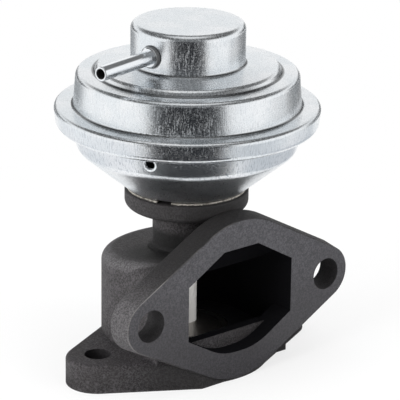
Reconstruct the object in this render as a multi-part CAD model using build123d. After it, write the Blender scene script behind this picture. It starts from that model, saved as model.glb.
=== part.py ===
from build123d import *
import math
import os

# Vacuum-operated exhaust gas recirculation (EGR) valve, in millimetres.
# The origin is the point where the stem's axis meets the underside of the base flange.
# +Z runs up the stem to the vacuum cap, and the gas leaves through the flange that faces -Y.

# ---- cast housing: base flange ----
base_thickness = 7.7
base_bolt_spacing = 61.0
base_bolt_hole_radius = 3.5
base_lobe_radius = 8.4
base_middle_radius = 21.5
base_front_flank_radius = 24.3
base_forward_offset = 1.0
base_front_recess = 0.6
base_edge_rounding = 1.2

# ---- cast housing: gas chamber ----
inlet_bore_radius = 10.0
floor_thickness = 8.3
chamber_radius = 17.8
chamber_height = 18.0
chamber_wall = 4.7
roof_thickness = 5.2
roof_slope = 6.5
roof_rounding = 3.2

# ---- cast housing: outlet flange and its eight-sided port ----
flange_face = 22.6
flange_thickness = 6.9
flange_draft = 7.0
flange_centre_height = 22.3
flange_bolt_spacing = 60.0
flange_bolt_hole_radius = 4.35
flange_lobe_radius = 7.5
flange_middle_radius = 22.0
flange_back_rounding = 1.0
flange_face_chamfer = 0.25
port_half_width = 17.6
port_half_height = 14.45
port_side_half = 7.5
port_flat_half = 5.75
port_floor_rounding = 17.0
throat_depth = 6.0
throat_wall = 3.0
sill_setback = 5.0
sill_width = 3.0
sill_height = 3.3

# ---- cast housing: neck and the collar that carries the actuator ----
neck_radius = 8.95
neck_height = 10.9
neck_foot_radius = 1.2
collar_radius = 16.4
collar_thickness = 5.0
collar_rounding = 2.0
collar_top_rounding = 0.5

# ---- valve seat and head ----
seat_ledge = 1.5
seat_rim = 1.5
seat_cone_width = 2.5
seat_height = 4.7
seat_recess = 0.3
seat_clearance = 0.1
head_margin = 0.6
head_nose = 0.5
head_rim_height = 0.8
head_crown = 1.3

# ---- stem, its guide and seals ----
lift = 5.0
stem_radius = 3.0
stem_thread_step = 0.5
stem_spigot_step = 0.8
stem_rivet_height = 0.9
stem_end_projection = 0.8
running_clearance = 0.04
bush_wall = 2.0
bush_stop = 1.5
scraper_ledge = 1.2
scraper_height = 2.2
packing_width = 3.76
packing_height = 3.0
packing_cap_thickness = 1.0
packing_cap_lip = 0.6

# ---- actuator: pressed-steel upper can ----
sheet = 1.2
sharpest_bend = 0.25
drawn_corner = 0.8
cap_radius = 15.0
cap_height = 10.8
cap_rounding = 1.7
plateau_inset = 5.6
plateau_fall = 0.8
plateau_step = 1.5
step_run = 1.0
shoulder_inset = 5.8
shoulder_fall = 0.2
shoulder_rounding = 1.3
can_wall_height = 8.8
wall_flare = 0.7

# ---- actuator: rolled rim that holds the can, diaphragm and dish together ----
rim_radius = 35.0
rim_height = 5.6
rim_taper = 0.6
rim_lip_width = 3.2
rim_lip_rise = 0.1
rim_rounding = 1.0
rim_roll_rounding = 1.8
crimp_clearance = 0.12
crimp_side_clearance = 0.45

# ---- actuator: lower dish ----
dish_foot_inset = 0.2
dish_bore_radius = 7.6
dish_cone_height = 10.6
dish_band_height = 7.2
dish_band_inset = 1.6
dish_overhang = 4.5
dish_corner = 2.0
dish_band_corner = 3.0
dish_neck_corner = 0.6
vent_radius = 1.4
vent_drop = 2.05
vent_direction = 211.7
vent_count = 2

# ---- actuator: fixing to the collar ----
gasket_thickness = 1.0
gasket_inset = 0.5
gasket_bore_clearance = 0.4
gasket_notch_width = 4.0
gasket_notch_depth = 2.2
gasket_notch_direction = 208.6
backing_thickness = 1.2
backing_bore_clearance = 0.4
backing_margin = 0.2
screw_count = 3
screw_direction = 30.0
screw_radius = 2.0
screw_hole_clearance = 0.15
screw_thread_clearance = 0.02
screw_head_radius = 3.2
screw_head_height = 2.4
screw_head_chamfer = 0.6
screw_depth = 4.0
screw_point_clearance = 0.3
screw_socket_radius = 1.4

# ---- actuator: diaphragm and its plates ----
diaphragm_thickness = 0.9
diaphragm_slack = 1.36
bead_clearance = 0.15
convolution_inset = 5.7
convolution_width = 3.8
convolution_drop = 0.9
plate_inset = 1.6
plate_lip = 2.0
plate_rounding = 1.8
cup_wall_height = 6.0
cup_well_depth = 1.6
washer_radius = 5.5
washer_thickness = 1.0
nut_across_flats = 8.0
nut_height = 4.0

# ---- actuator: return spring and its seat ----
spring_wire_radius = 1.0
spring_side_gap = 1.2
spring_turns = 4.6
spring_end_gap = 0.03
spring_seat_thickness = 1.0
spring_seat_margin = 0.8
spring_guide_depth = 1.0
spring_guide_clearance = 0.3
spring_seat_width = 4.0

# ---- vacuum pipe ----
pipe_radius = 1.9
pipe_bore_radius = 1.3
pipe_drop = 6.3
pipe_direction = 191.4
pipe_projection = 19.8
pipe_root_depth = 0.5
pipe_spigot_step = 0.25
pipe_tip_rounding = 0.3
ferrule_radius = 2.8
ferrule_thickness = 1.3
ferrule_sleeve_wall = 0.45
ferrule_seat_depth = 0.6


# ---------------------------------------------------------------- sizes that follow
base_half_spacing = base_bolt_spacing / 2
flange_half_spacing = flange_bolt_spacing / 2
flange_back = flange_face - flange_thickness
body_radius = chamber_radius + chamber_wall

# heights, stacked from the underside of the base
chamber_floor = floor_thickness
chamber_ceiling = chamber_floor + chamber_height
body_top = chamber_ceiling + roof_thickness
collar_bottom = body_top + neck_height
collar_top = collar_bottom + collar_thickness
dish_underside = collar_top + gasket_thickness
dish_floor = dish_underside + sheet
backing_top = dish_floor + backing_thickness
dish_band_bottom = dish_underside + dish_cone_height
rim_shelf = dish_band_bottom + dish_band_height
rim_bottom = rim_shelf - crimp_clearance - sheet
rim_top = rim_bottom + rim_height
shoulder_top = rim_top + can_wall_height
plateau_foot = shoulder_top + shoulder_fall
plateau_edge = plateau_foot + plateau_step
plateau_top = plateau_edge + plateau_fall
cap_top = plateau_top + cap_height
vent_height = rim_bottom - vent_drop
pipe_height = cap_top - pipe_drop

# stem way: each bore and its bush or seal share these radii
stem_hole_radius = stem_radius + running_clearance
stem_thread_radius = stem_radius - stem_thread_step
stem_spigot_radius = stem_radius - stem_spigot_step
bush_radius = stem_hole_radius + bush_wall
scraper_radius = bush_radius + scraper_ledge
packing_radius = stem_hole_radius + packing_width
packing_top = collar_top - packing_cap_thickness
packing_bottom = packing_top - packing_height
bush_bottom = chamber_ceiling + scraper_height
bush_top = packing_bottom - bush_stop

# seat and head share one 45 degree cone
seat_outer_radius = inlet_bore_radius + seat_ledge
seat_cone_radius = seat_outer_radius - seat_rim
seat_bore_radius = seat_cone_radius - seat_cone_width
seat_top = chamber_floor - seat_recess
seat_bottom = seat_top - seat_height
seat_cone_bottom = seat_top - seat_cone_width
head_radius = seat_cone_radius - head_margin
head_underside = seat_cone_bottom - head_nose
cone_offset = seat_bore_radius - seat_cone_bottom - seat_clearance * math.sqrt(2)
head_cone_foot = head_underside + cone_offset
head_rim_bottom = head_radius - cone_offset
head_rim_top = head_rim_bottom + head_rim_height
head_top = head_rim_top + head_crown

# casing radii, from the rim inwards
shoulder_radius = rim_radius - shoulder_inset
plateau_radius = shoulder_radius - plateau_inset
rim_lip_radius = rim_radius - rim_lip_width
dish_neck_radius = rim_radius - dish_overhang
dish_band_radius = dish_neck_radius - dish_band_inset
dish_flange_radius = rim_radius - rim_taper - sheet - crimp_side_clearance
dish_foot_radius = collar_radius - dish_foot_inset
gasket_radius = collar_radius - gasket_inset
backing_bore_radius = dish_bore_radius + backing_bore_clearance
screw_circle_radius = backing_bore_radius + screw_head_radius
backing_radius = screw_circle_radius + screw_head_radius + backing_margin

# diaphragm: the rolled rim grips its bead, and its centre hangs one lift below at rest
rim_roof = rim_top - sheet
bead_bottom = rim_shelf + sheet
bead_middle = (bead_bottom + rim_roof) / 2
bead_outer_radius = dish_flange_radius - bead_clearance
bead_inner_radius = dish_neck_radius + dish_neck_corner
diaphragm_seat = bead_middle - lift - diaphragm_slack
convolution_outer_radius = dish_neck_radius - convolution_inset
convolution_inner_radius = convolution_outer_radius - convolution_width
plate_radius = convolution_inner_radius - plate_inset
plate_bottom = diaphragm_seat - sheet
cup_bottom = diaphragm_seat + diaphragm_thickness
cup_floor = cup_bottom + sheet
nut_bottom = cup_floor + washer_thickness
stem_end = nut_bottom + nut_height + stem_end_projection

# spring: it stands in the cup's well and fits inside the cap
spring_coil_radius = cap_radius - sheet - spring_side_gap - spring_wire_radius
spring_seat_radius = spring_coil_radius + spring_wire_radius + spring_seat_margin
spring_seat_bottom = cap_top - sheet - spring_seat_thickness
spring_bottom = cup_floor + spring_end_gap
spring_top = spring_seat_bottom - spring_end_gap

# pipe: distances from the stem's axis
pipe_root = cap_radius - sheet - pipe_root_depth
pipe_reach = cap_radius + pipe_projection
pipe_spigot_radius = pipe_radius - min(pipe_spigot_step, 0.45 * (pipe_radius - pipe_bore_radius))
ferrule_outer = cap_radius + ferrule_thickness
ferrule_sleeve_radius = pipe_radius + ferrule_sleeve_wall


# ---------------------------------------------------------------- helpers
def on_circle(radius, degrees):
    """Point at this radius and direction about the stem's axis."""
    angle = math.radians(degrees)
    return Vector(radius * math.cos(angle), radius * math.sin(angle))


def turned(*corners):
    """Solid of revolution about Z from the corners (radius, height) of half its section."""
    outline = Polyline(*[(r, 0, z) for r, z in corners], close=True)
    return revolve(make_face(outline), axis=Axis.Z)


def ring(inner, outer, bottom, top):
    """Plain ring about Z."""
    return turned((inner, bottom), (outer, bottom), (outer, top), (inner, top))


def disc(radius, bottom, top, place=Vector(0, 0)):
    """Plain upright cylinder between two heights."""
    return Pos(place.X, place.Y, bottom) * extrude(Circle(radius), top - bottom)


def through(radius, bottom, top, place=Vector(0, 0)):
    """Cutter for a hole between two heights, a little longer at both ends."""
    spare = 1.0
    return disc(radius, bottom - spare, top + spare, place)


def drawn_sheet(corners, roundings, wall):
    """Sheet metal turned about Z. The corners (radius, height) follow one face of the sheet,
    roundings are the bend radii on that face, and the wall lies to the right of the path,
    or to its left where it is negative."""
    face = [Vector(r, z) for r, z in corners]
    runs = [(b - a).normalized() for a, b in zip(face, face[1:])]
    normals = [Vector(run.Y, -run.X) for run in runs]
    back = [face[0] + normals[0] * wall]
    back_roundings = []
    for corner, before, after, n0, n1, radius in zip(
        face[1:-1], runs, runs[1:], normals, normals[1:], roundings
    ):
        mitre = (n0 + n1) * (wall / (1 + n0.dot(n1)))
        turns_right = before.X * after.Y - before.Y * after.X < 0
        back.append(corner + mitre)
        back_roundings.append(radius - wall if turns_right else radius + wall)
    back.append(face[-1] + normals[-1] * wall)
    back_roundings = [radius if radius > sharpest_bend else 0 for radius in back_roundings]
    near = FilletPolyline(*[(p.X, 0, p.Y) for p in face], radius=list(roundings))
    far = FilletPolyline(*[(p.X, 0, p.Y) for p in back], radius=back_roundings)
    ends = [Line(near @ 0, far @ 0), Line(near @ 1, far @ 1)]
    return revolve(make_face(near.edges() + far.edges() + ends), axis=Axis.Z)


def lozenge(half_spacing, lobe, middle):
    """Flange outline: a lobe round each bolt hole, joined by tangents to a middle circle."""
    lean = math.asin((middle - lobe) / half_spacing)
    corners = []
    for side in (1, -1):
        for top in (1, -1):
            normal = Vector(side * math.sin(lean), top * math.cos(lean))
            corners.append((Vector(side * half_spacing, 0) + normal * lobe, normal * middle))
    (ne, n_e), (se, s_e), (nw, n_w), (sw, s_w) = corners
    edges = [
        Line(ne, n_e), ThreePointArc(n_e, (0, middle), n_w), Line(n_w, nw),
        ThreePointArc(nw, (-half_spacing - lobe, 0), sw),
        Line(sw, s_w), ThreePointArc(s_w, (0, -middle), s_e), Line(s_e, se),
        ThreePointArc(se, (half_spacing + lobe, 0), ne),
    ]
    return make_face(edges)


def outlet_plane(y):
    """Plane that faces the outlet (-Y), with its own x along +X and its own y along +Z."""
    return Plane(origin=(0, y, flange_centre_height), x_dir=(1, 0, 0), z_dir=(0, -1, 0))


def edges_at(solid, height, reach=0.01):
    """Edges of a solid that lie at one height."""
    return solid.edges().filter_by_position(Axis.Z, height - reach, height + reach)


# ---------------------------------------------------------------- cast housing
def octagon(grow=0.0, foot=port_half_height, top=port_half_height, side_top=port_side_half):
    """Port outline about the flange centre. foot and top are its reach below and above it."""
    rise = top - side_top
    slant = math.atan2(rise, port_half_width - port_flat_half) if rise > 0 else 0.0
    half_width = port_half_width + grow
    flat = port_flat_half + grow * math.tan(slant / 2)
    high = side_top + grow * math.tan((math.pi / 2 - slant) / 2)
    return [
        (flat, top + grow), (-flat, top + grow), (-half_width, high),
        (-half_width, -port_side_half), (-flat, -foot - grow), (flat, -foot - grow),
        (half_width, -port_side_half), (half_width, high),
    ]


def make_base_flange():
    """Two-lobed plate with a flat front, just behind the outlet flange's face. Its left front
    flank runs further out than the right one."""
    outline = lozenge(base_half_spacing, base_lobe_radius, base_middle_radius)
    wide = lozenge(base_half_spacing, base_lobe_radius, base_front_flank_radius)
    reach = base_bolt_spacing
    left_front = Pos(-reach / 2, -reach / 2) * Rectangle(reach, reach)
    outline = Pos(0, -base_forward_offset) * (outline + (wide & left_front))
    beyond_front = Pos(0, base_front_recess - flange_face - reach / 2) * Rectangle(reach, reach)
    plate = extrude(outline - beyond_front, base_thickness)
    return fillet(edges_at(plate, base_thickness), base_edge_rounding)


def make_chamber_shell():
    plan = Circle(body_radius) + Pos(0, -flange_back / 2) * Rectangle(2 * body_radius, flange_back)
    size = 4 * body_radius
    blank = extrude(plan, body_top + body_radius)
    above_roof = Pos(0, 0, body_top) * Rot(-roof_slope, 0, 0) * Pos(0, 0, size / 2) * Box(
        size, size, size
    )
    shell = blank - above_roof
    roof = shell.faces().sort_by(Axis.Z)[-1]
    rim = [edge for edge in roof.edges() if edge.center().Y > -flange_back + roof_rounding / 10]
    return fillet(rim, roof_rounding)


def make_outlet_flange():
    """Two-lobed plate that widens towards its back by the casting draft."""
    outline = lozenge(flange_half_spacing, flange_lobe_radius, flange_middle_radius)
    backwards = Plane(origin=(0, -flange_face, flange_centre_height), x_dir=(1, 0, 0), z_dir=(0, 1, 0))
    flange = extrude(backwards * outline, flange_thickness, taper=-flange_draft)
    flange = fillet(flange.edges().group_by(Axis.Y)[-1], flange_back_rounding)
    flange = chamfer(flange.edges().group_by(Axis.Y)[0], flange_face_chamfer)
    size = 2 * flange_bolt_spacing
    return flange - Pos(0, 0, -size / 2) * Box(size, size, size)


def sill_place():
    """Where the casting is left standing as a step across the foot of the port."""
    bottom = chamber_floor - sill_height
    middle = sill_setback + sill_width / 2 - flange_face
    width = 2 * port_half_width + throat_wall
    return Pos(0, middle, bottom + sill_height) * Box(width, sill_width, 2 * sill_height)


def make_throat(grow, roof, depth=throat_depth):
    """Tapered passage from the port down to the chamber; grown by its wall it is the hood."""
    mouth = Polyline(*octagon(grow), close=True)
    inner_foot = flange_centre_height - chamber_floor
    inner = Polyline(*octagon(grow, inner_foot, roof, roof), close=True)
    near = outlet_plane(-flange_back) * make_face(mouth)
    far = outlet_plane(-flange_back + depth) * make_face(inner)
    return loft([near, far], ruled=True)


def make_neck():
    """Stem tower with a flared foot on the chamber's roof."""
    sunk = roof_thickness / 2
    foot = neck_radius + neck_foot_radius
    return turned(
        (0, body_top - sunk), (foot, body_top - sunk), (foot, body_top),
        (neck_radius + neck_foot_radius / 3, body_top + neck_foot_radius / 3),
        (neck_radius, body_top + neck_foot_radius), (neck_radius, collar_bottom),
        (0, collar_bottom),
    )


def make_collar():
    collar = disc(collar_radius, collar_bottom, collar_top)
    collar = fillet(edges_at(collar, collar_bottom), collar_rounding)
    return fillet(edges_at(collar, collar_top), collar_top_rounding)


def screw_places():
    step = 360 / screw_count
    return [on_circle(screw_circle_radius, screw_direction + i * step) for i in range(screw_count)]


def make_valve_body():
    roof_inside = chamber_ceiling - flange_centre_height
    body = make_base_flange() + make_chamber_shell() + make_outlet_flange()
    body += make_throat(throat_wall, roof_inside)
    body += make_neck()
    body += make_collar()
    sill = body & sill_place()

    # gas way: inlet bore, seat pocket, chamber and the eight-sided port
    chamber_plan = Circle(chamber_radius) + Pos(0, -flange_back / 2) * Rectangle(
        2 * port_half_width, flange_back
    )
    body -= Pos(0, 0, chamber_floor) * extrude(chamber_plan, chamber_height)
    bottom_turn = math.atan2(port_half_height - port_side_half, port_half_width - port_flat_half)
    floor_rounding = min(port_floor_rounding, 0.95 * port_flat_half / math.tan(bottom_turn / 2))
    corner_roundings = [0, 0, 0, 0, floor_rounding, floor_rounding, 0, 0]
    port = make_face(FilletPolyline(*octagon(), radius=corner_roundings, close=True))
    body -= extrude(outlet_plane(-flange_back) * port, flange_thickness + 1)
    body -= make_throat(0.0, roof_inside)
    body += sill
    body -= through(inlet_bore_radius, 0, seat_bottom)
    body -= disc(seat_outer_radius, seat_bottom, chamber_floor + seat_recess)

    # stem way: scraper pocket, guide bush bore, stem clearance and packing pocket
    stem_gap = 0.3
    body -= disc(scraper_radius, chamber_ceiling - 1, bush_bottom)
    body -= disc(bush_radius, chamber_ceiling, bush_top)
    body -= disc(stem_hole_radius + stem_gap, chamber_ceiling, collar_top)
    body -= disc(packing_radius, packing_bottom, collar_top + 1)

    # bolt and screw holes
    for side in (-1, 1):
        place = Vector(side * base_half_spacing, -base_forward_offset)
        body -= through(base_bolt_hole_radius, 0, base_thickness, place)
        bolt = Pos(side * flange_half_spacing, 0) * Circle(flange_bolt_hole_radius)
        body -= extrude(outlet_plane(-flange_back + 1) * bolt, flange_thickness + 2)
    drill_end = collar_top - screw_depth - screw_point_clearance
    for place in screw_places():
        body -= disc(screw_radius + screw_thread_clearance, drill_end, collar_top + 1, place)
    return body.solid()


# ---------------------------------------------------------------- gas valve
def make_seat_ring():
    chamfer = 0.4
    return turned(
        (seat_bore_radius, seat_bottom), (seat_outer_radius - chamfer, seat_bottom),
        (seat_outer_radius, seat_bottom + chamfer), (seat_outer_radius, seat_top),
        (seat_cone_radius, seat_top), (seat_bore_radius, seat_cone_bottom),
    )


def make_valve_head():
    edge = 0.25
    crown_top = stem_radius + 1.4
    crown_fall = 0.35
    return turned(
        (stem_spigot_radius, head_underside), (head_cone_foot, head_underside),
        (head_radius, head_rim_bottom), (head_radius, head_rim_top - edge),
        (head_radius - edge, head_rim_top), (crown_top, head_top - crown_fall),
        (stem_radius, head_top), (stem_spigot_radius, head_top),
    )


def make_stem():
    """Riveted to the head at its foot, with a thread for the diaphragm's nut at its top."""
    rivet = 0.7
    point = 0.5
    rivet_foot = head_underside - stem_rivet_height
    return turned(
        (0, rivet_foot), (stem_spigot_radius, rivet_foot),
        (stem_spigot_radius + rivet, rivet_foot + rivet / 2),
        (stem_spigot_radius + rivet, head_underside), (stem_spigot_radius, head_underside),
        (stem_spigot_radius, head_top), (stem_radius, head_top), (stem_radius, plate_bottom),
        (stem_thread_radius, plate_bottom), (stem_thread_radius, stem_end - point),
        (stem_thread_radius - point, stem_end), (0, stem_end),
    )


def make_guide_bush():
    lead = 0.5
    return turned(
        (stem_hole_radius, bush_bottom), (bush_radius, bush_bottom),
        (bush_radius, bush_top - lead), (bush_radius - lead, bush_top),
        (stem_hole_radius + lead, bush_top), (stem_hole_radius, bush_top - lead),
    )


def make_soot_scraper():
    lip = 0.8
    edge = 0.4
    return turned(
        (stem_hole_radius, chamber_ceiling), (stem_hole_radius + lip, chamber_ceiling),
        (scraper_radius - edge, chamber_ceiling + lip),
        (scraper_radius, chamber_ceiling + lip + edge), (scraper_radius, bush_bottom),
        (stem_hole_radius + lip, bush_bottom), (stem_hole_radius, chamber_ceiling + lip),
    )


def make_packing_ring():
    groove = 0.5
    middle = (packing_bottom + packing_top) / 2
    return turned(
        (stem_hole_radius, packing_bottom), (packing_radius, packing_bottom),
        (packing_radius, packing_top), (stem_hole_radius, packing_top),
        (stem_hole_radius, middle + groove), (stem_hole_radius + groove, middle),
        (stem_hole_radius, middle - groove),
    )


def make_packing_cap():
    bore = stem_hole_radius + packing_cap_lip
    dish = 0.2
    edge = 0.5
    return turned(
        (bore, packing_top), (packing_radius, packing_top), (packing_radius, collar_top),
        (packing_radius - edge, collar_top), (bore, collar_top - dish),
    )


# ---------------------------------------------------------------- fixing to the collar
def make_dish_gasket():
    bore = packing_radius + gasket_bore_clearance
    gasket = ring(bore, gasket_radius, collar_top, dish_underside)
    for place in screw_places():
        gasket -= through(screw_radius + screw_hole_clearance, collar_top, dish_underside, place)
    notch = Box(2 * gasket_notch_depth, gasket_notch_width, 3 * gasket_thickness)
    middle = (collar_top + dish_underside) / 2
    gasket -= Rot(0, 0, gasket_notch_direction) * Pos(gasket_radius, 0, middle) * notch
    return gasket


def make_backing_ring():
    plate = ring(backing_bore_radius, backing_radius, dish_floor, backing_top)
    for place in screw_places():
        plate -= through(screw_radius + screw_hole_clearance, dish_floor, backing_top, place)
    return plate


def make_dish_screws():
    """Socket-head screws that clamp the dish, its backing ring and gasket to the collar."""
    head_top = backing_top + screw_head_height
    screws = []
    for place in screw_places():
        screw = disc(screw_radius, collar_top - screw_depth, backing_top)
        screw += turned(
            (0, backing_top), (screw_head_radius, backing_top),
            (screw_head_radius, head_top - screw_head_chamfer),
            (screw_head_radius - screw_head_chamfer, head_top), (0, head_top),
        )
        socket = extrude(RegularPolygon(screw_socket_radius, 6), screw_head_height)
        screw -= Pos(0, 0, backing_top + screw_head_height / 2) * socket
        screws.append(Pos(place.X, place.Y) * screw.solid())
    return Compound(screws)


# ---------------------------------------------------------------- actuator casing
def make_lower_dish():
    dish = drawn_sheet(
        [
            (dish_bore_radius, dish_underside), (dish_foot_radius, dish_underside),
            (dish_band_radius, dish_band_bottom), (dish_neck_radius, rim_shelf),
            (dish_flange_radius, rim_shelf),
        ],
        [dish_corner, dish_band_corner, dish_neck_corner], -sheet,
    )
    for place in screw_places():
        dish -= through(screw_radius + screw_hole_clearance, dish_underside, dish_floor, place)
    drill = Cylinder(vent_radius, 4 * sheet + 2 * dish_band_inset, rotation=(0, 90, 0))
    for i in range(vent_count):
        turn = Rot(0, 0, vent_direction + i * 360 / vent_count)
        dish -= turn * Pos(dish_band_radius, 0, vent_height) * drill
    return dish.solid()


def make_upper_can():
    """Stepped can. Its rim is rolled under the dish's flange to clamp the diaphragm."""
    can = drawn_sheet(
        [
            (0, cap_top), (cap_radius, cap_top), (cap_radius, plateau_top),
            (plateau_radius, plateau_edge), (plateau_radius + step_run, plateau_foot),
            (shoulder_radius, shoulder_top), (shoulder_radius + wall_flare, rim_top),
            (rim_radius, rim_top), (rim_radius - rim_taper, rim_bottom + rim_lip_rise),
            (rim_lip_radius, rim_bottom),
        ],
        [
            cap_rounding, drawn_corner, 1.5 * drawn_corner, drawn_corner, shoulder_rounding,
            drawn_corner, rim_rounding, rim_roll_rounding,
        ],
        sheet,
    )
    can -= along_pipe(disc(ferrule_sleeve_radius, cap_radius / 2, 2 * cap_radius))
    return can.solid()


# ---------------------------------------------------------------- diaphragm and its plates
def make_diaphragm():
    """Rubber sheet with one downward convolution and a square bead at its rim."""
    half = diaphragm_thickness / 2
    top = diaphragm_seat + diaphragm_thickness
    loop = convolution_width / 2
    loop_bottom = diaphragm_seat + half - convolution_drop - loop
    web = drawn_sheet(
        [
            (stem_thread_radius, top), (convolution_inner_radius, top),
            (convolution_inner_radius, loop_bottom), (convolution_outer_radius, loop_bottom),
            (convolution_outer_radius, bead_middle + half),
            (bead_outer_radius, bead_middle + half),
        ],
        [diaphragm_thickness, 0.8 * loop, 0.8 * loop, diaphragm_thickness], diaphragm_thickness,
    )
    bead = ring(bead_inner_radius, bead_outer_radius, bead_bottom, rim_roof)
    return (web + bead).solid()


def make_diaphragm_plate():
    return drawn_sheet(
        [
            (plate_radius, plate_bottom - plate_lip), (plate_radius, diaphragm_seat),
            (stem_thread_radius, diaphragm_seat),
        ],
        [plate_rounding], -sheet,
    )


def make_spring_cup():
    """Upper plate: a well that centres the spring, and an upturned wall."""
    well_run = 0.6
    wall_inside = plate_radius - sheet
    return drawn_sheet(
        [
            (stem_thread_radius, cup_floor), (spring_seat_radius, cup_floor),
            (spring_seat_radius + well_run, cup_floor + cup_well_depth),
            (wall_inside, cup_floor + cup_well_depth), (wall_inside, cup_floor + cup_wall_height),
        ],
        [0, 0, drawn_corner], sheet,
    )


def make_stem_washer():
    return ring(stem_thread_radius, washer_radius, cup_floor, nut_bottom)


def make_stem_nut():
    corner_radius = nut_across_flats / math.sqrt(3)
    crown_inset = 0.9
    crown_fall = 0.6
    nut_top = nut_bottom + nut_height
    nut = Pos(0, 0, nut_bottom) * extrude(RegularPolygon(corner_radius, 6), nut_height)
    crown = turned(
        (0, nut_bottom), (corner_radius, nut_bottom), (corner_radius, nut_top - crown_fall),
        (corner_radius - crown_inset, nut_top), (0, nut_top),
    )
    return ((nut & crown) - through(stem_thread_radius, nut_bottom, nut_top)).solid()


# ---------------------------------------------------------------- return spring and its seat
def make_return_spring():
    """Open coil with ground ends, cut flat where it meets the cup and the seat."""
    ground_turns = 1.2
    spare_turns = 0.2
    pitch = (spring_top - spring_bottom - 2 * spring_wire_radius) / (spring_turns - ground_turns)
    length = pitch * (spring_turns - spare_turns)
    path = Helix(pitch, length, spring_coil_radius)
    wire = Plane(origin=path @ 0, z_dir=path % 0) * Circle(spring_wire_radius)
    coil = sweep(wire, path=path, is_frenet=True)
    middle = (spring_bottom + spring_top) / 2
    slab = disc(cap_radius, spring_bottom, spring_top)
    return ((Pos(0, 0, middle - length / 2) * coil) & slab).solid()


def make_spring_seat():
    """Turned ring under the cap's roof, with a collar that centres the spring."""
    inner = spring_seat_radius - spring_seat_width
    guide = spring_coil_radius - spring_wire_radius - spring_guide_clearance
    roof = cap_top - sheet
    lead = 0.3
    edge = 0.6
    return turned(
        (inner, spring_seat_bottom - spring_guide_depth),
        (guide - lead, spring_seat_bottom - spring_guide_depth), (guide, spring_seat_bottom),
        (spring_seat_radius, spring_seat_bottom), (spring_seat_radius, roof - edge),
        (spring_seat_radius - edge, roof), (inner, roof),
    )


# ---------------------------------------------------------------- vacuum pipe
def along_pipe(shape):
    """Turn a shape that is built about Z at the origin to lie along the vacuum pipe."""
    return Rot(0, 0, pipe_direction) * Pos(0, 0, pipe_height) * Rot(0, 90, 0) * shape


def make_vacuum_pipe():
    """Its root is turned down to a spigot, so that the tube shoulders against the ferrule."""
    tube = ring(pipe_bore_radius, pipe_radius, ferrule_outer, pipe_reach)
    rounding = min(pipe_tip_rounding, 0.45 * (pipe_radius - pipe_bore_radius))
    tube = fillet(edges_at(tube, pipe_reach), rounding)
    return along_pipe(tube + ring(pipe_bore_radius, pipe_spigot_radius, pipe_root, ferrule_outer))


def make_pipe_ferrule():
    """Brazed collar whose sleeve fills the hole in the cap's wall."""
    edge = 0.4
    root = cap_radius - sheet - pipe_root_depth / 2
    seat = cap_radius - ferrule_seat_depth
    ferrule = along_pipe(turned(
        (pipe_spigot_radius, root), (ferrule_sleeve_radius, root), (ferrule_sleeve_radius, seat),
        (ferrule_radius, seat), (ferrule_radius, ferrule_outer - edge),
        (ferrule_radius - edge, ferrule_outer), (pipe_spigot_radius, ferrule_outer),
    ))
    height = 4 * ferrule_radius
    cap_wall = Pos(0, 0, pipe_height - height / 2) * ring(cap_radius - sheet, cap_radius, 0, height)
    hole = along_pipe(disc(ferrule_sleeve_radius, 0, 2 * cap_radius))
    return (ferrule - (cap_wall - hole)).solid()


NODES = {
    "valve_body": make_valve_body,
    "seat_ring": make_seat_ring,
    "valve_head": make_valve_head,
    "stem": make_stem,
    "guide_bush": make_guide_bush,
    "soot_scraper": make_soot_scraper,
    "packing_ring": make_packing_ring,
    "packing_cap": make_packing_cap,
    "dish_gasket": make_dish_gasket,
    "backing_ring": make_backing_ring,
    "dish_screws": make_dish_screws,
    "lower_dish": make_lower_dish,
    "upper_can": make_upper_can,
    "diaphragm": make_diaphragm,
    "diaphragm_plate": make_diaphragm_plate,
    "spring_cup": make_spring_cup,
    "stem_washer": make_stem_washer,
    "stem_nut": make_stem_nut,
    "return_spring": make_return_spring,
    "spring_seat": make_spring_seat,
    "vacuum_pipe": make_vacuum_pipe,
    "pipe_ferrule": make_pipe_ferrule,
}

os.makedirs("parts", exist_ok=True)
for name, make in NODES.items():
    piece = make()
    export_step(piece, f"parts/{name}.step")
    print(name, "valid" if piece.is_valid else "NOT VALID", round(piece.volume, 1))
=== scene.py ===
import math
import bpy
from mathutils import Matrix, Vector


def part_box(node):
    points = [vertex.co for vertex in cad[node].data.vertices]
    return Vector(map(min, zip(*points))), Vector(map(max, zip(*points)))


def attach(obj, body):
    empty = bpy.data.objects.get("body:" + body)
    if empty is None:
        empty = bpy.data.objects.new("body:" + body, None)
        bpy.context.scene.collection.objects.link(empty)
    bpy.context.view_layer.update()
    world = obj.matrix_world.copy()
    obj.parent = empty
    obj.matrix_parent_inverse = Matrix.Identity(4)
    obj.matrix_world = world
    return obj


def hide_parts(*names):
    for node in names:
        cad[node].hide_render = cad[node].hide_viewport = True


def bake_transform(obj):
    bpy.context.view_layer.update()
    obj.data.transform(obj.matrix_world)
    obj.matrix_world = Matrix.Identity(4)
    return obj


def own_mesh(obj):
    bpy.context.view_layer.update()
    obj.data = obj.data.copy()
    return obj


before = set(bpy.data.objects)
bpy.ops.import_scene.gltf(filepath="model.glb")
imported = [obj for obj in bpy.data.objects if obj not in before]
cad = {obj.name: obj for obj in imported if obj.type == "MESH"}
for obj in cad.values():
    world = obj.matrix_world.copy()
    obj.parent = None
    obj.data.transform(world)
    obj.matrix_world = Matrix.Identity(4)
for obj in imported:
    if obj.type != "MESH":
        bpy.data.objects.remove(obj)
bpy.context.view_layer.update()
bpy.ops.object.select_all(action="DESELECT")

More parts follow.
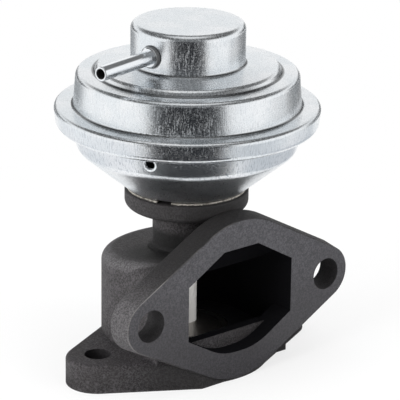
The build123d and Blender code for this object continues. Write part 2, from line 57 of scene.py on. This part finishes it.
# ---- camera ----
# A long lens stands 0.7 m off, in front and to the left of the outlet flange. It looks down
# by 20 degrees and is rolled by less than one.
camera = bpy.data.objects.new("camera", bpy.data.cameras.new("camera"))
bpy.context.scene.collection.objects.link(camera)
camera.data.lens = 237.5
camera.data.sensor_width = 36
lens_at = (-0.42085, -0.50445, 0.27878)
turn, rise, roll = (math.radians(angle) for angle in (-40.15, 19.70, 0.75))
sideways = Vector((math.cos(turn), math.sin(turn), 0))
level_back = Vector((math.sin(turn), -math.cos(turn), 0))
backwards = math.cos(rise) * level_back + Vector((0, 0, math.sin(rise)))
upwards = backwards.cross(sideways)
rolled_side = math.cos(roll) * sideways + math.sin(roll) * upwards
rolled_up = -math.sin(roll) * sideways + math.cos(roll) * upwards
axes = Matrix((rolled_side, rolled_up, backwards)).transposed().to_4x4()
camera.matrix_world = Matrix.Translation(lens_at) @ axes
bpy.context.scene.camera = camera


# ---- valve body ----
# One sand casting in grey iron carries everything: base flange, gas chamber, outlet flange,
# neck and collar. Its skin is dark and finely grained, and the outlet face is ground.
# The gas way inside is painted near-black as shade, and painted shade and highlights also
# lie on the outside.
class Wire:
    """One socket's value on its way to the next node. Sums on it add Math nodes."""

    def __init__(self, finish, socket):
        self.finish = finish
        self.socket = socket

    def sum(self, operation, first, second):
        values = {0: first, 1: second}
        return self.finish.node("ShaderNodeMath", {"operation": operation}, values)

    def __add__(self, other):
        return self.sum("ADD", self, other)

    def __radd__(self, other):
        return self.sum("ADD", other, self)

    def __sub__(self, other):
        return self.sum("SUBTRACT", self, other)

    def __rsub__(self, other):
        return self.sum("SUBTRACT", other, self)

    def __mul__(self, other):
        return self.sum("MULTIPLY", self, other)

    def __rmul__(self, other):
        return self.sum("MULTIPLY", other, self)

    def __truediv__(self, other):
        return self.sum("DIVIDE", self, other)

    def __pow__(self, other):
        return self.sum("POWER", self, other)

    def larger(self, other):
        return self.sum("MAXIMUM", self, other)

    def smaller(self, other):
        return self.sum("MINIMUM", self, other)

    def size(self):
        return self.finish.node("ShaderNodeMath", {"operation": "ABSOLUTE"}, {0: self})

    def step(self, low, high):
        """0 below low, 1 above high, smooth between; high may be the smaller one."""
        values = {0: self, 1: low, 2: high}
        return self.finish.node(
            "ShaderNodeMapRange", {"interpolation_type": "SMOOTHSTEP"}, values
        )


class Finish:
    """A material whose nodes all come from one method, with places in object metres."""

    def __init__(self, name):
        self.material = bpy.data.materials.new(name)
        self.material.use_nodes = True
        self.tree = self.material.node_tree
        self.tree.nodes.clear()
        self.place = self.node("ShaderNodeTexCoord", out="Object")
        split = self.node("ShaderNodeSeparateXYZ", {}, {0: self.place}).socket.node
        self.x, self.y, self.z = (Wire(self, output) for output in split.outputs)

    def node(self, kind, settings=None, values=None, out=0):
        made = self.tree.nodes.new(kind)
        for name, value in (settings or {}).items():
            if name == "stops":
                ramp = made.color_ramp.elements
                while len(ramp) < len(value):
                    ramp.new(1)
                for element, (position, shade) in zip(ramp, value):
                    element.position = position
                    element.color = (*shade, 1)
            else:
                setattr(made, name, value)
        for name, value in (values or {}).items():
            if isinstance(value, Wire):
                self.tree.links.new(value.socket, made.inputs[name])
            elif isinstance(value, tuple) and made.inputs[name].type == "RGBA":
                made.inputs[name].default_value = (*value, 1)
            else:
                made.inputs[name].default_value = value
        return Wire(self, made.outputs[out])

    def mix(self, factor, first, second):
        return self.node(
            "ShaderNodeMix", {"data_type": "RGBA"}, {0: factor, 6: first, 7: second}, out=2
        )

    def noise(self, scale, detail=2.0, roughness=0.5, place=None):
        return self.node(
            "ShaderNodeTexNoise", {},
            {
                "Vector": place or self.place, "Scale": scale,
                "Detail": detail, "Roughness": roughness,
            },
        )

    def stretched(self, x, y, z):
        """The object's place with each axis multiplied, so that a grain runs along one."""
        return self.node(
            "ShaderNodeVectorMath", {"operation": "MULTIPLY"}, {0: self.place, 1: (x, y, z)}
        )

    def radius(self):
        return (self.x * self.x + self.y * self.y) ** 0.5

    def bump(self, height, depth):
        return self.node(
            "ShaderNodeBump", {}, {"Height": height, "Distance": depth, "Strength": 1.0}
        )

    def paint(self, *nodes, **sockets):
        values = {name.replace("_", " "): value for name, value in sockets.items()}
        self.node_out(self.node("ShaderNodeBsdfPrincipled", {}, values))
        self.cover(*nodes)

    def cover(self, *nodes):
        """Puts the finish on CAD nodes, by name, and on other pieces, by object."""
        for node in nodes:
            slots = (cad[node] if isinstance(node, str) else node).data.materials
            slots.clear()
            slots.append(self.material)

    def node_out(self, shader, kind="ShaderNodeOutputMaterial"):
        end = self.tree.nodes.new(kind)
        self.tree.links.new(shader.socket, end.inputs["Surface"])


iron = Finish("cast_iron")
forward = 0 - iron.y
from_stem = iron.radius()
edge = 0.00015
flange_face, flange_back, base_top = 0.0226, 0.0157, 0.0077
ground = forward.step(flange_face - edge, flange_face - edge / 3)

chamber_radius, chamber_floor, chamber_ceiling = 0.0178, 0.0083, 0.0263
in_chamber = (
    from_stem.step(chamber_radius + 2 * edge, chamber_radius + edge)
    * iron.z.step(chamber_floor - 2 * edge, chamber_floor - edge)
    * iron.z.step(chamber_ceiling + 2 * edge, chamber_ceiling + edge)
)
port_half_width, port_half_height, port_centre = 0.0176, 0.01445, 0.0223
port_flat_half, port_corner_slope = 0.00575, 0.5865
throat_end, throat_length = 0.0097, 0.0060
along = ((forward - throat_end) / throat_length).larger(0).smaller(1)
corner_cut = port_corner_slope * (iron.x.size() - port_flat_half).larger(0)
throat_rise = port_centre + port_half_height - chamber_ceiling - corner_cut
throat_ceiling = chamber_ceiling + along * throat_rise
in_port = (
    iron.x.size().step(port_half_width + 2 * edge, port_half_width + edge)
    * (iron.z - port_centre).size().step(port_half_height + 2 * edge, port_half_height + edge)
    * iron.z.step(chamber_floor - 8 * edge, chamber_floor - 6 * edge)
    * (throat_ceiling - iron.z).step(-6 * edge, -4 * edge)
    * forward.step(-0.002, 0.0)
    * (1 - ground)
)
sill_face, sill_top = 0.01765, 0.0116
sill_front = (
    (forward - sill_face).size().step(0.00035, 0.00020)
    * iron.z.step(sill_top + 0.0002, sill_top)
)
# Painted shade: the chamber and the port are painted near-black, all but the sill's face.
interior_shade = in_chamber.larger(in_port) * (1 - 0.85 * sill_front)


def round_hole(across, up, reach, half_spacing):
    """1 on the walls of the pair of bolt holes that lie half_spacing to either side."""
    off = across.size() - half_spacing
    return ((off * off + up * up) ** 0.5).step(reach, reach - edge)


# Painted shade: the walls of the bolt holes are darkened.
flange_holes = (
    round_hole(iron.x, iron.z - port_centre, reach=0.0047, half_spacing=0.0300)
    * forward.step(flange_back - 0.0007, flange_back - 0.0002)
)
base_holes = (
    round_hole(iron.x, iron.y + 0.001, reach=0.0038, half_spacing=0.0305)
    * iron.z.step(base_top, base_top - 0.0002)
)
hole_shade = flange_holes.larger(base_holes) * (1 - ground)

roof_height, roof_slope = 0.0315, 0.114
above_roof = iron.z - (roof_height + roof_slope * forward)
on_roof = (
    above_roof.step(-0.004, -0.001)
    * iron.z.step(0.038, 0.036)
    * forward.step(flange_back, flange_back - 0.0007)
)
# Painted shadow: a dark patch on the roof at the neck's left front, and a dark band round the
# neck's foot.
shadow_x, shadow_y = -0.0105, -0.001
from_roof_shadow = ((iron.x - shadow_x) ** 2 + (iron.y - shadow_y) ** 2) ** 0.5
neck_foot = iron.z.step(0.036, 0.033) * iron.z.step(0.030, 0.031)
stain_and_shadow = from_roof_shadow.step(0.0120, 0.0045) * on_roof.larger(neck_foot)
# Painted highlight: paler iron along the roof's rounded left edge and on the left lobe.
roof_shoulder = on_roof * from_stem.step(0.0185, 0.0212) * from_stem.step(0.0232, 0.0222)
left_lobe = iron.x.step(-0.024, -0.034) * iron.z.step(0.0100, 0.0160)
painted_highlight = roof_shoulder.larger(left_lobe * 0.55)
# Painted shade: the iron is darkened behind the outlet flange, on the collar under the can, and
# on the base's front side.
behind_flange = iron.z.step(0.026, 0.037) * forward.step(0.004, 0.016)
collar = iron.z.step(0.040, 0.043)
base_side = iron.x.step(-0.034, -0.020) * iron.z.step(base_top, base_top - 0.0007)
painted_shade = (behind_flange * 0.88).larger(collar * 0.48).larger(base_side * 0.75)

sand = iron.noise(2100, 3, 0.7)
pits = iron.noise(3400, 2, 0.6)
coarse = iron.noise(650, 2)
cloud = iron.noise(60, 3)
grit = (sand * 0.65 + pits * 0.35).step(0.42, 0.60)
hollows, grains = (0.020, 0.018, 0.019), (0.088, 0.082, 0.087)
weathered, coarse_grains = (0.034, 0.031, 0.031), (0.120, 0.113, 0.120)
highlight_iron, shaded_iron = (0.17, 0.165, 0.17), (0.018, 0.017, 0.017)
shaded_hole_wall, roof_shadow_colour = (0.014, 0.013, 0.014), (0.008, 0.008, 0.008)
skin = iron.mix(grit, hollows, grains)
skin = iron.mix(cloud.step(0.38, 0.66) * 0.5, skin, weathered)
skin = iron.mix(coarse.step(0.58, 0.72) * 0.35, skin, coarse_grains)
skin = iron.mix(painted_highlight * (0.25 + 0.55 * grit), skin, highlight_iron)
skin = iron.mix(painted_shade, skin, shaded_iron)
skin = iron.mix(hole_shade * 0.75, skin, shaded_hole_wall)
skin = iron.mix(stain_and_shadow * 0.9, skin, roof_shadow_colour)

ground_hollows, ground_grains = (0.046, 0.045, 0.050), (0.098, 0.096, 0.106)
dull_face, low_face_shade = (0.050, 0.048, 0.052), (0.024, 0.022, 0.024)
chamfer_highlight = (0.19, 0.18, 0.175)
face = iron.mix(grit, ground_hollows, ground_grains)
face = iron.mix(cloud.step(0.4, 0.7) * 0.3, face, dull_face)
# Painted shade: the ground face darkens towards its bottom.
face = iron.mix(iron.z.step(0.042, 0.006) * 0.58, face, low_face_shade)
# Painted highlight: in patches, the face's chamfer is made pale towards the upper left.
face_chamfer = (
    forward.step(flange_face - 0.00032, flange_face - 0.00025)
    * (1 - ground) * (1 - interior_shade) * (1 - hole_shade)
)
edge_glint = cloud.step(0.35, 0.6) * iron.x.step(0.012, -0.004) * iron.z.step(0.012, 0.020)
colour = iron.mix(ground, skin, face)
colour = iron.mix(face_chamfer * edge_glint, colour, chamfer_highlight)
relief = sand * 0.6 + coarse * 0.4
casting = iron.node(
    "ShaderNodeBsdfPrincipled", {},
    {
        "Base Color": colour,
        "Roughness": 0.74 - 0.16 * sand - 0.08 * ground,
        "Specular IOR Level": 0.4,
        "Normal": iron.bump(relief * (1 - 0.6 * ground), 0.00022),
    },
)
# Painted shade: a near-black matte shader takes over inside the chamber and the port.
shade_black = iron.node(
    "ShaderNodeBsdfDiffuse", {}, {"Color": (0.006, 0.006, 0.007), "Roughness": 1.0}
)
iron.node_out(iron.node("ShaderNodeMixShader", {}, {0: interior_shade * 0.98, 1: casting, 2: shade_black}))
iron.cover("valve_body")


# ---- seat ring, valve head, soot scraper and stem ----
# The seat is a turned ring pressed into the chamber's floor. The head is a turned poppet,
# riveted to a ground stem, which a sharp-lipped ring under the bush scrapes clean.
# All are heat-resisting steel, finely marked by the tool.
def turned_steel(name, *nodes, colour, roughness, pitch, metal=1.0):
    steel = Finish(name)
    rings = {0: steel.radius() * pitch, 2: steel.z * pitch}
    marks = steel.noise(1.0, 2, 0.6, steel.node("ShaderNodeCombineXYZ", {}, rings))
    grain = steel.noise(3000, 2)
    stain_and_shadow = steel.noise(120, 3)
    dull = tuple(0.72 * part for part in colour)
    steel.paint(
        *nodes,
        Base_Color=steel.mix(stain_and_shadow.step(0.4, 0.75) * 0.6, colour, dull),
        Metallic=metal,
        Roughness=roughness + 0.12 * marks + 0.08 * grain,
        Normal=steel.bump(marks * 0.8 + grain * 0.2, 0.000006),
    )


turned_steel(
    "turned_steel", "seat_ring", "valve_head", "soot_scraper",
    colour=(0.52, 0.50, 0.48), roughness=0.30, pitch=4200,
)
turned_steel(
    "ground_stem", "stem",
    colour=(0.94, 0.92, 0.89), roughness=0.36, pitch=6000, metal=0.25,
)


# ---- guide bush ----
# A plain bearing of sintered bronze, pressed up into the roof from inside the chamber,
# with an open, oil-filled grain.
bronze = Finish("sintered_bronze")
pores = bronze.noise(2400, 3, 0.65)
bronze.paint(
    "guide_bush",
    Base_Color=bronze.mix(pores.step(0.35, 0.6), (0.20, 0.11, 0.045), (0.50, 0.31, 0.13)),
    Metallic=0.9,
    Roughness=0.55 - 0.15 * pores,
    Normal=bronze.bump(pores, 0.00003),
)


# ---- packing ring ----
# Flexible graphite, pressed round the stem from a wound ribbon, so that its layers show
# as fine rings.
graphite = Finish("graphite")
wound = graphite.node(
    "ShaderNodeCombineXYZ", {}, {0: graphite.radius() * 3500, 2: graphite.z * 900}
)
layers = graphite.noise(1.0, 2, 0.5, wound)
graphite.paint(
    "packing_ring",
    Base_Color=graphite.mix(layers, (0.012, 0.012, 0.014), (0.055, 0.055, 0.060)),
    Roughness=0.42 + 0.2 * layers,
    Normal=graphite.bump(layers, 0.00002),
)


# ---- dish gasket ----
# A ring of metal-faced sheet lies between the collar and the dish, with a notch at the
# front that drains the joint.
sheet = Finish("gasket_sheet")
gasket_low, gasket_high = (corner[2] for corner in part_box("dish_gasket"))
fibre = sheet.noise(1.0, 3, 0.6, sheet.stretched(1500, 1500, 2600))
depth_in = (sheet.z - gasket_low) / (gasket_high - gasket_low) + 0.5 * (fibre - 0.5)
facing = depth_in.step(0.22, 0.36) * depth_in.step(0.78, 0.64)
worn_facing, core = (0.10, 0.09, 0.08), (0.018, 0.016, 0.015)
bright = sheet.mix(fibre.step(0.3, 0.7), (0.24, 0.22, 0.19), (0.62, 0.59, 0.53))
bright = sheet.mix(sheet.noise(420, 2).step(0.30, 0.52), worn_facing, bright)
sheet.paint(
    "dish_gasket",
    Base_Color=sheet.mix(facing, core, bright),
    Metallic=0.5 * facing,
    Roughness=0.45 + 0.2 * fibre,
    Normal=sheet.bump(fibre, 0.00005),
)


# ---- actuator case ----
# The upper can and the lower dish are drawn from sheet steel and plated with bright zinc.
# The can's rim is rolled round the dish's flange, and drawing leaves fine lines up each wall.
# The small pressings inside and the stem's nut and washer are plated in the same way.
zinc = Finish("bright_zinc")
drawn = zinc.noise(1.0, 2, 0.6, zinc.stretched(3000, 3000, 340))
grain = zinc.noise(2600, 2, 0.7)
patchy = zinc.noise(700, 2)
bloom = zinc.noise(110, 2)
speckle = (drawn * 0.5 + grain * 0.5).step(0.47, 0.66)


def band(foot, top):
    """1 between two heights, fading over each pair of numbers."""
    return zinc.z.step(*foot) * zinc.z.step(*top)


rim_scuffs = band((0.0645, 0.0650), (0.0700, 0.0690))
wall_scuffs = band((0.0705, 0.0712), (0.0770, 0.0730))
cap_scuffs = band((0.0820, 0.0825), (0.0905, 0.0860))
scuffed = rim_scuffs.larger(wall_scuffs).larger(cap_scuffs)
dish_side, rim_side = zinc.z.step(0.0648, 0.0610), zinc.z.step(0.0702, 0.0690)
on_cone = dish_side.larger(0.55 * rim_side)


def crease(radius, height, reach=0.0007):
    """Painted shade in the ring-shaped crease at one radius and height."""
    off = ((zinc.radius() - radius) ** 2 + (zinc.z - height) ** 2) ** 0.5
    return off.step(reach, reach / 3)


def level_axis(finish, bearing, height, aside=0.0):
    """How far out a place lies on one level bearing, and how far off the line it lies."""
    out = finish.x * math.cos(bearing) + finish.y * math.sin(bearing)
    across = finish.y * math.cos(bearing) - finish.x * math.sin(bearing) - aside
    return out, (across ** 2 + (finish.z - height) ** 2) ** 0.5


cap_foot, step_foot = (0.0150, 0.08178), (0.0246, 0.07948)
wall_foot, lip_edge = (0.0299, 0.07048), (0.0318, 0.06488)
pipe_bearing, pipe_height = math.radians(191.4), 0.08628
pipe_out, pipe_off = level_axis(zinc, pipe_bearing, pipe_height)
# Painted shade round the foot of the pipe's ferrule and in the case's creases.
crease_shade = pipe_off.step(0.0032, 0.0030) * pipe_out.step(0.008, 0.010)
for ring in (cap_foot, step_foot, wall_foot, lip_edge):
    crease_shade = crease_shade.larger(crease(*ring))
vent_bearing, vent_height = math.radians(211.7), 0.06271
vent_out, vent_off = level_axis(zinc, vent_bearing, vent_height, aside=0.00010)
burr = vent_off.step(0.00185, 0.00165) * vent_out.step(0.020, 0.025)

drawn_lines = drawn.step(0.50, 0.68) * (0.30 + 0.40 * on_cone)
silver = zinc.mix(bloom.step(0.35, 0.7), (0.81, 0.85, 0.88), (0.90, 0.92, 0.94))
silver = zinc.mix(drawn_lines, silver, (0.46, 0.50, 0.55))
silver = zinc.mix(grain.step(0.54, 0.74) * 0.40, silver, (0.48, 0.52, 0.55))
# The painted shade darkens the zinc in those creases.
silver = zinc.mix(crease_shade * 0.85, silver, (0.09, 0.095, 0.10))
dulled = (0.03 + 0.28 * patchy + 0.22 * scuffed) * speckle * (1 - on_cone)
dish_foot = zinc.z.step(0.0605, 0.0590)
zinc.paint(
    "upper_can", "lower_dish", "packing_cap", "diaphragm_plate", "spring_cup",
    "stem_washer", "stem_nut",
    Base_Color=silver,
    Metallic=1 - dulled.larger(burr * 0.8),
    Roughness=0.17 + 0.14 * grain + 0.05 * patchy + 0.06 * dish_foot - 0.03 * on_cone,
    Normal=zinc.bump((drawn + grain) * (0.5 - 0.3 * on_cone), 0.000030),
)


# ---- screws and backing ring ----
# Three socket-head screws hold the dish on the collar through a flat backing ring.
# Both are phosphated, dark and slightly oily.
phosphate = Finish("phosphated_steel")
crystals = phosphate.noise(3200, 3, 0.6)
phosphate.paint(
    "dish_screws", "backing_ring",
    Base_Color=phosphate.mix(
        crystals.step(0.3, 0.7), (0.022, 0.023, 0.025), (0.075, 0.076, 0.080)
    ),
    Metallic=0.7,
    Roughness=0.52 - 0.15 * crystals,
    Normal=phosphate.bump(crystals, 0.00001),
)


# ---- diaphragm ----
# Fabric-backed rubber with one moulded convolution. Its bead is clamped in the rolled rim
# and its middle between the two plates, so its outer wall shortens as the stem rises.
def flexing(node):
    """A welded copy of a node's mesh, for a piece that changes shape as the stem rises."""
    piece = bpy.data.objects.new(node + "_flexing", cad[node].data.copy())
    bpy.context.scene.collection.objects.link(piece)
    bpy.ops.object.select_all(action="DESELECT")
    piece.select_set(True)
    bpy.context.view_layer.objects.active = piece
    bpy.ops.mesh.customdata_custom_splitnormals_clear()
    bpy.ops.object.mode_set(mode="EDIT")
    bpy.ops.mesh.select_all(action="SELECT")
    bpy.ops.mesh.remove_doubles(threshold=1e-6)
    bpy.ops.object.mode_set(mode="OBJECT")
    bpy.ops.object.shade_smooth_by_angle(angle=math.radians(30))
    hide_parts(node)
    return piece


membrane = flexing("diaphragm")
rubber = Finish("diaphragm_rubber")
thread_spacing = 0.0009
warp, weft = (
    rubber.node(
        "ShaderNodeMath", {"operation": "SINE"}, {0: place * (2 * math.pi / thread_spacing)}
    )
    for place in (rubber.x, rubber.y)
)
weave = warp * weft * 0.5 + 0.5
rubber.paint(
    membrane,
    Base_Color=rubber.mix(weave, (0.010, 0.010, 0.011), (0.028, 0.028, 0.030)),
    Roughness=0.62 + 0.12 * weave,
    Normal=rubber.bump(weave, 0.00003),
)
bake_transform(membrane)


# ---- return spring ----
# An open coil of oil-tempered wire pushes the diaphragm down, and so holds the valve shut.
# Its turned seat centres it under the cap's roof.
coil = flexing("return_spring")
wire = Finish("spring_wire")
temper = wire.noise(900, 3, 0.6)
wire.paint(
    coil,
    Base_Color=wire.mix(temper.step(0.35, 0.65), (0.10, 0.085, 0.075), (0.26, 0.24, 0.23)),
    Metallic=0.95,
    Roughness=0.30 + 0.18 * temper,
    Normal=wire.bump(temper, 0.000008),
)
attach(coil, "housing")
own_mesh(coil)
turned_steel(
    "turned_seat", "spring_seat", colour=(0.50, 0.50, 0.51), roughness=0.32, pitch=3600
)


# ---- vacuum pipe ----
# A short steel tube takes the vacuum hose. It is brazed into a flared ferrule on the side of
# the cap. Both are polished bright outside, and the tube's bore is painted dark. The flare's
# outer edge is darkened as painted shade.
polished = Finish("polished_steel")
polish = polished.noise(2500, 2, 0.5)
off_axis = level_axis(polished, pipe_bearing, pipe_height)[1]
bore = off_axis.step(0.00142, 0.00134)
# Painted shade on the flare's outer edge, where it meets the cap.
flare_edge_shade = off_axis.step(0.00264, 0.00276)
dark = bore.larger(flare_edge_shade * 0.9)
steel = polished.mix(polish * 0.3, (0.90, 0.93, 0.96), (0.74, 0.77, 0.80))
polished.paint(
    "vacuum_pipe", "pipe_ferrule",
    Base_Color=polished.mix(dark, steel, (0.02, 0.02, 0.02)),
    Metallic=0.94 - 0.9 * dark,
    Roughness=0.11 + 0.08 * polish + 0.4 * dark,
    Normal=polished.bump(polish, 0.000004),
)


# ---- studio ----
# The valve stands on a plain white floor under one large soft light each side of the camera
# and one overhead. Cards from black to pale grey stand and lie round it. They show only in
# reflections, where they draw the shape of the bright metal.
def soft_light(name, place, aim, width, power):
    bpy.ops.object.light_add(type="AREA", location=place)
    lamp = bpy.context.object
    lamp.name = name
    lamp.data.shape = "SQUARE"
    lamp.data.size = width
    lamp.data.energy = power
    lamp.rotation_euler = (Vector(aim) - Vector(place)).to_track_quat("-Z", "Y").to_euler()
    lamp.visible_glossy = False


middle = (0, 0, 0.045)
soft_light("light_left", (-0.95, 0.05, 0.50), middle, width=0.8, power=9.5)
soft_light("light_right", (0.30, -0.95, 0.55), middle, width=0.8, power=5.5)
soft_light("light_top", (0.05, 0.05, 1.0), middle, width=0.9, power=4.5)


class Surroundings(Finish):
    """The world, whose nodes are made as a material's are."""

    def __init__(self, name):
        self.world = bpy.data.worlds.new(name)
        self.world.use_nodes = True
        self.tree = self.world.node_tree
        self.tree.nodes.clear()


def ray_is(finish, *kinds):
    """1 for rays of any of these kinds, 0 for the others."""
    found = 0
    for kind in kinds:
        found = finish.node("ShaderNodeLightPath", out=f"Is {kind} Ray").larger(found)
    return found


room = Surroundings("studio")
bpy.context.scene.world = room.world
height = room.node(
    "ShaderNodeSeparateXYZ", {}, {0: room.node("ShaderNodeTexCoord", out="Generated")}, out="Z"
)
bright_floor, dark_walls, bright_ceiling = (1.0,) * 3, (0.10,) * 3, (0.85,) * 3
mirrored = room.node(
    "ShaderNodeValToRGB",
    {
        "stops": (
            (0.0, bright_floor), (0.46, bright_floor), (0.57, dark_walls), (0.88, dark_walls),
            (0.97, bright_ceiling),
        )
    },
    {0: height},
)
plain_level = 0.42
level = plain_level + ray_is(room, "Glossy", "Transmission") * (mirrored - plain_level)
level = level + ray_is(room, "Camera") * (1 - level)
room.node_out(
    room.node("ShaderNodeBackground", {}, {"Color": (1.0, 1.0, 1.0), "Strength": level}),
    "ShaderNodeOutputWorld",
)

bpy.ops.mesh.primitive_circle_add(vertices=64, radius=3.0, fill_type="NGON", location=(0, 0, 0))
floor = bpy.context.object
floor.name = "floor"
paper = Finish("white_paper")
paper_shade = paper.node("ShaderNodeBsdfDiffuse", {}, {"Color": (0.93, 0.93, 0.93)})
paper_glow = paper.node("ShaderNodeEmission", {}, {"Color": (1.0, 1.0, 1.0), "Strength": 1.0})
far = paper.radius().step(0.05, 0.16)
share = ray_is(paper, "Camera", "Glossy", "Transmission") * (0.74 + 0.26 * far)
paper.node_out(paper.node("ShaderNodeMixShader", {}, {0: share, 1: paper_shade, 2: paper_glow}))
paper.cover(floor)


def card(name, bearing, placed, length, width, shade):
    """A card that shows only in reflections, on one bearing from the valve."""
    bpy.ops.mesh.primitive_plane_add(size=1, location=(0, 0, 0))
    plane = bpy.context.object
    plane.name = name
    outward = Matrix.Rotation(math.radians(bearing), 4, "Z")
    plane.data.transform(outward @ placed @ Matrix.Diagonal((length, width, 1, 1)))
    tone = Finish(name)
    tone.node_out(tone.node("ShaderNodeEmission", {}, {"Color": shade, "Strength": 1.0}))
    tone.cover(plane)
    plane.visible_camera = False
    plane.visible_diffuse = False
    plane.visible_shadow = False
    plane.visible_transmission = False


def flag(name, bearing, distance, width, low, high, shade):
    """An upright card that faces the valve."""
    upright = Matrix.Rotation(math.pi / 2, 4, "Y")
    placed = Matrix.Translation((distance, 0, (low + high) / 2)) @ upright
    card(name, bearing, placed, high - low, width, shade)


def mat(name, bearing, near, far, width, shade):
    """A card that lies just over the floor and runs outwards."""
    placed = Matrix.Translation(((near + far) / 2, 0, 0.0004))
    card(name, bearing, placed, far - near, width, shade)


front = 230.2
black, dim, grey = (0.018, 0.019, 0.022), (0.09, 0.092, 0.095), (0.30, 0.31, 0.32)
for name, bearing, distance, width, low, high, shade in (
    ("front_flag", front, 0.165, 0.23, 0.0, 0.12, black),
    ("front_high_flag", front, 0.165, 0.23, 0.12, 0.30, (0.16, 0.165, 0.17)),
    ("high_flag_left", front - 140, 0.40, 0.32, 0.06, 0.17, dim),
    ("high_flag_right", front + 140, 0.40, 0.32, 0.06, 0.17, dim),
    ("low_flag_left", front - 145, 0.24, 0.18, 0.0, 0.055, grey),
    ("low_flag_right", front + 136, 0.24, 0.20, 0.0, 0.055, (0.22, 0.225, 0.23)),
):
    flag(name, bearing, distance, width, low, high, shade)
for name, bearing, near, far, width, shade in (
    ("front_mat", front, 0.066, 0.165, 0.15, black),
    ("under_mat", front, -0.034, 0.034, 0.068, (0.054, 0.057, 0.061)),
    ("left_mat", front - 90, 0.076, 0.16, 0.24, (0.84, 0.85, 0.87)),
    ("right_mat", front + 90, 0.076, 0.16, 0.24, (0.60, 0.62, 0.65)),
    ("far_mat", front + 102, 0.25, 0.36, 0.15, (0.42, 0.43, 0.44)),
):
    mat(name, bearing, near, far, width, shade)

bpy.context.scene.view_settings.view_transform = "Standard"
